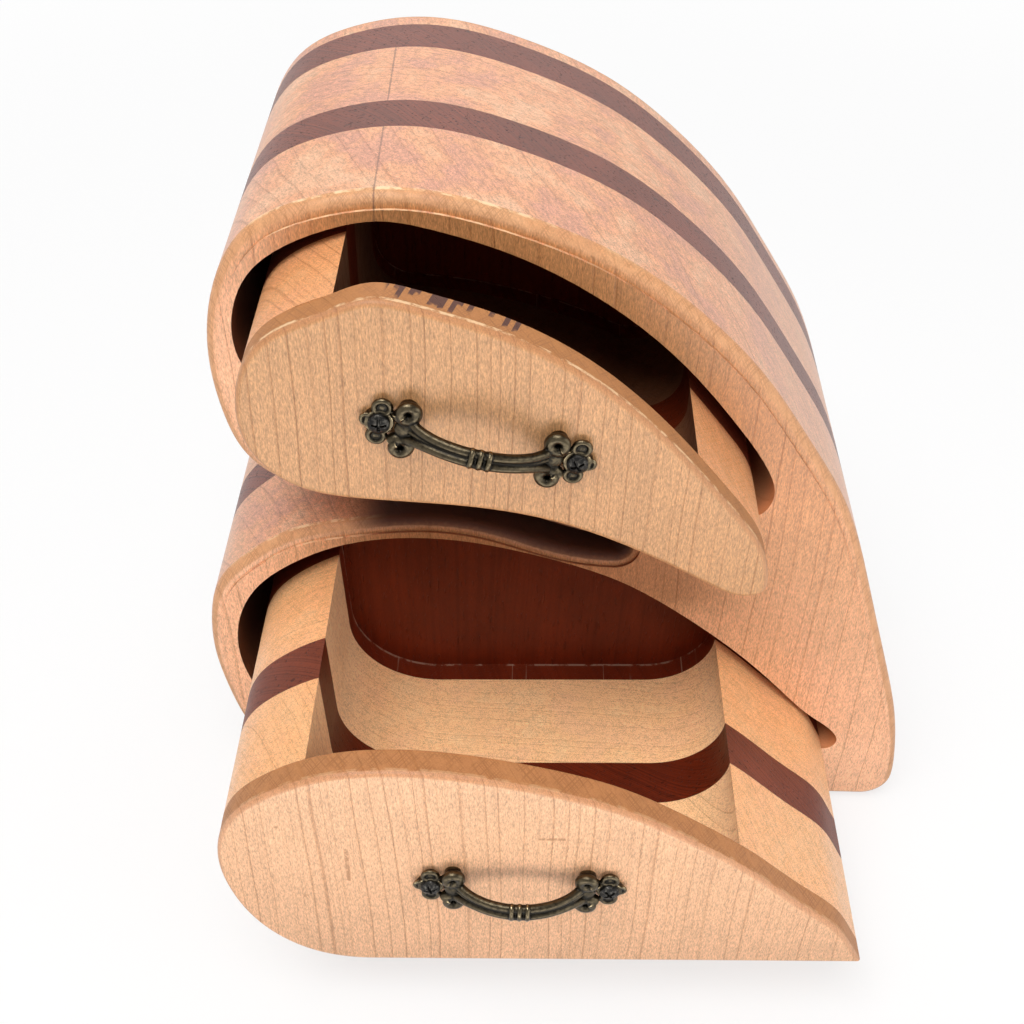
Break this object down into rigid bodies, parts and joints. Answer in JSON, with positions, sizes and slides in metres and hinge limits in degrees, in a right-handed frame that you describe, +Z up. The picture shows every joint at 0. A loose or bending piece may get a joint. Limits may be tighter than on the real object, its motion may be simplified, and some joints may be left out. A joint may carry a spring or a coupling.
{
  "type": "bandsaw box",
  "caption": "Wooden bandsaw box of stacked leaf-shaped lobes in striped lamination, with a pull-out drawer in each lobe and an ornate bronze bow pull on each drawer.",
  "frame": {"origin": "on the table under the middle of the body: half-way across its width and its depth, on the foot's flat underside", "axes": "+Z up, +X to the right seen from the front, -Y towards the user, the way the drawers pull out"},
  "size_m": [0.1699, 0.1487, 0.1726],
  "materials": {
    "maple": "satin oil",
    "dark_wood": "satin oil",
    "bronze": "antique bronze, worn bright on the high spots",
    "screw": "dark bronze"
  },
  "bodies": {
    "body": {"body_front_layer": "maple", "body_front_stripe": "dark_wood", "body_middle_layer": "maple", "body_rear_stripe": "dark_wood", "body_back_panel": "maple"},
    "upper_drawer": {"upper_drawer_front": "maple", "upper_drawer_core_front": "maple", "upper_drawer_core_stripe": "dark_wood", "upper_drawer_core_middle": "maple", "upper_drawer_core_rear": "dark_wood", "upper_drawer_back": "dark_wood", "upper_handle": "bronze", "upper_handle_screws": "screw"},
    "lower_drawer": {"lower_drawer_front": "maple", "lower_drawer_core_front": "maple", "lower_drawer_core_stripe": "dark_wood", "lower_drawer_core_middle": "maple", "lower_drawer_core_rear": "dark_wood", "lower_drawer_back": "dark_wood", "lower_handle": "bronze", "lower_handle_screws": "screw"}
  },
  "joints": [
    {"name": "upper_drawer_slide", "type": "slide", "parent": "body", "child": "upper_drawer", "axis": [0, -1, 0], "range_m": [-0.024, 0.044]},
    {"name": "lower_drawer_slide", "type": "slide", "parent": "body", "child": "lower_drawer", "axis": [0, -1, 0], "range_m": [-0.059, 0.009]}
  ]
}
